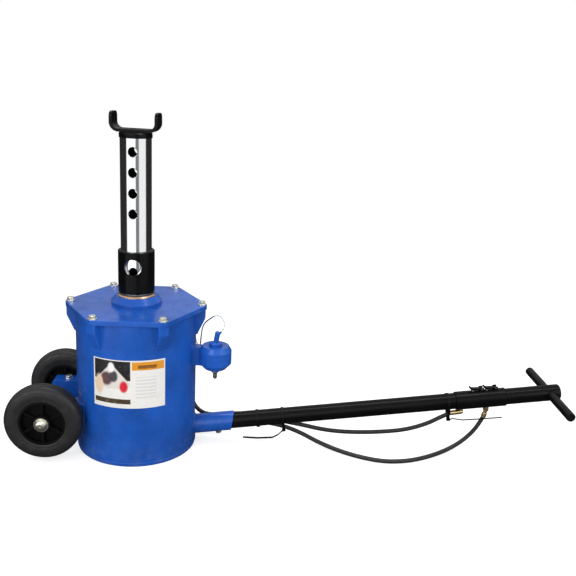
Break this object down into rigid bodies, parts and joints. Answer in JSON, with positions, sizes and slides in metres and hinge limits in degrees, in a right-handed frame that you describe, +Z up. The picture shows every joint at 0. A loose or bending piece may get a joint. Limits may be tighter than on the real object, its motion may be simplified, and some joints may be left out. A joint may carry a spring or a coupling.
{
  "type": "air lift jack",
  "caption": "Upright air cylinder jack with a telescoping ram, cradle saddle, transport wheels, tow handle with thumb valve, hoses and tethered lock pin.",
  "frame": {"origin": "centre of the cylinder's base plate, on the surface it stands on", "axes": "+Z up along the ram; +X towards the tow handle's grip, with the wheels at -X; +Y along the axle"},
  "size_m": [1.6099, 0.3608, 0.96],
  "materials": {
    "blue_paint": "gloss enamel",
    "black_paint": "semi-gloss enamel",
    "chrome": "polished hard chrome",
    "zinc": "bright zinc plate",
    "steel": "turned steel",
    "bronze": "machined bronze",
    "brass": "machined brass",
    "aluminium": "machined aluminium",
    "black_rubber": "matt moulded rubber",
    "tyre_rubber": "moulded rubber",
    "black_plastic": "moulded plastic",
    "seal_rubber": "moulded nitrile",
    "wire_rope": "galvanised strand",
    "label_film": "printed vinyl film"
  },
  "bodies": {
    "jack_frame": {"air_inlet_nipple": "zinc", "axle_arms": "blue_paint", "axle_caps": "zinc", "axle_shaft": "steel", "axle_washers": "zinc", "base_bumpers": "seal_rubber", "base_plate": "blue_paint", "brass_fittings": "brass", "cable_ties": "black_plastic", "drum_shell": "blue_paint", "handle_head_tube": "black_paint", "handle_plugs": "black_plastic", "handle_screw": "zinc", "handle_socket": "blue_paint", "handle_tube": "black_paint", "holder_arm": "blue_paint", "holder_cups": "blue_paint", "holder_sleeve": "blue_paint", "label": "label_film", "lever_pins": "steel", "lid_gasket": "seal_rubber", "lid_lugs": "blue_paint", "lid_plate": "blue_paint", "lift_hose": "black_rubber", "m12_bolts": "zinc", "m12_washers": "zinc", "neck_gland": "blue_paint", "port_fittings": "brass", "return_hose": "black_rubber", "rod_bushing": "bronze", "rod_wiper": "seal_rubber", "t_bar": "black_paint", "tether": "wire_rope", "tether_anchor": "zinc", "valve_body": "black_paint", "valve_springs": "steel"},
    "ram": {"piston_rod": "steel", "pin_collar": "black_paint", "piston_plate": "aluminium", "piston_cup_seal": "seal_rubber", "piston_wear_ring": "bronze", "seal_retainer": "steel", "piston_screws": "steel"},
    "extension": {"extension_tube": "chrome", "extension_guide_ring": "bronze", "saddle_cap": "black_paint", "saddle_bolt": "black_paint"},
    "saddle": {"saddle_cradle": "black_paint"},
    "near_wheel": {"tyre_near": "tyre_rubber", "wheel_hub_near": "black_plastic", "wheel_bush_near": "bronze"},
    "far_wheel": {"tyre_far": "tyre_rubber", "wheel_hub_far": "black_plastic", "wheel_bush_far": "bronze"},
    "raise_lever": {"raise_lever": "black_paint"},
    "lower_lever": {"lower_lever": "black_paint"},
    "raise_stem": {"raise_valve_stem": "steel"},
    "lower_stem": {"lower_valve_stem": "steel"},
    "lock_pin": {"lock_pin": "steel", "lock_pin_head": "blue_paint"}
  },
  "joints": [
    {"name": "ram_lift", "type": "slide", "parent": "jack_frame", "child": "ram", "axis": [0, 0, 1], "range_m": [0, 0.26]},
    {"name": "extension_slide", "type": "slide", "parent": "ram", "child": "extension", "axis": [0, 0, 1], "range_m": [-0.305, 0.015]},
    {"name": "saddle_swivel", "type": "hinge", "parent": "extension", "child": "saddle", "pos_m": [0, 0, 0.92], "axis": [0, 0, 1], "continuous": true},
    {"name": "near_wheel_spin", "type": "hinge", "parent": "jack_frame", "child": "near_wheel", "pos_m": [-0.237, -0.137, 0.12], "axis": [0, 1, 0], "continuous": true},
    {"name": "far_wheel_spin", "type": "hinge", "parent": "jack_frame", "child": "far_wheel", "pos_m": [-0.237, 0.137, 0.12], "axis": [0, 1, 0], "continuous": true},
    {"name": "raise_lever_press", "type": "hinge", "parent": "jack_frame", "child": "raise_lever", "pos_m": [1.02402, 0, 0.19602], "axis": [0, -1, 0], "range_deg": [0, 7], "stiffness_Nm_per_rad": 1.5, "springref_deg": -5.73},
    {"name": "raise_stem_travel", "type": "slide", "parent": "jack_frame", "child": "raise_stem", "axis": [0.1226, 0, -0.9925], "range_m": [0, 0.0042]},
    {"name": "lower_lever_press", "type": "hinge", "parent": "jack_frame", "child": "lower_lever", "pos_m": [1.06571, 0, 0.20117], "axis": [0, -1, 0], "range_deg": [0, 7], "stiffness_Nm_per_rad": 1.5, "springref_deg": -5.73},
    {"name": "lower_stem_travel", "type": "slide", "parent": "jack_frame", "child": "lower_stem", "axis": [0.1226, 0, -0.9925], "range_m": [0, 0.0042]},
    {"name": "lock_pin_lift", "type": "slide", "parent": "jack_frame", "child": "lock_pin", "axis": [0, 0, 1], "range_m": [0, 0.11], "deforming": ["tether"]}
  ],
  "couplings": [
    {"joint": "raise_stem_travel", "follows": "raise_lever_press", "m_per_rad": 0.0305},
    {"joint": "lower_stem_travel", "follows": "lower_lever_press", "m_per_rad": 0.0305}
  ]
}
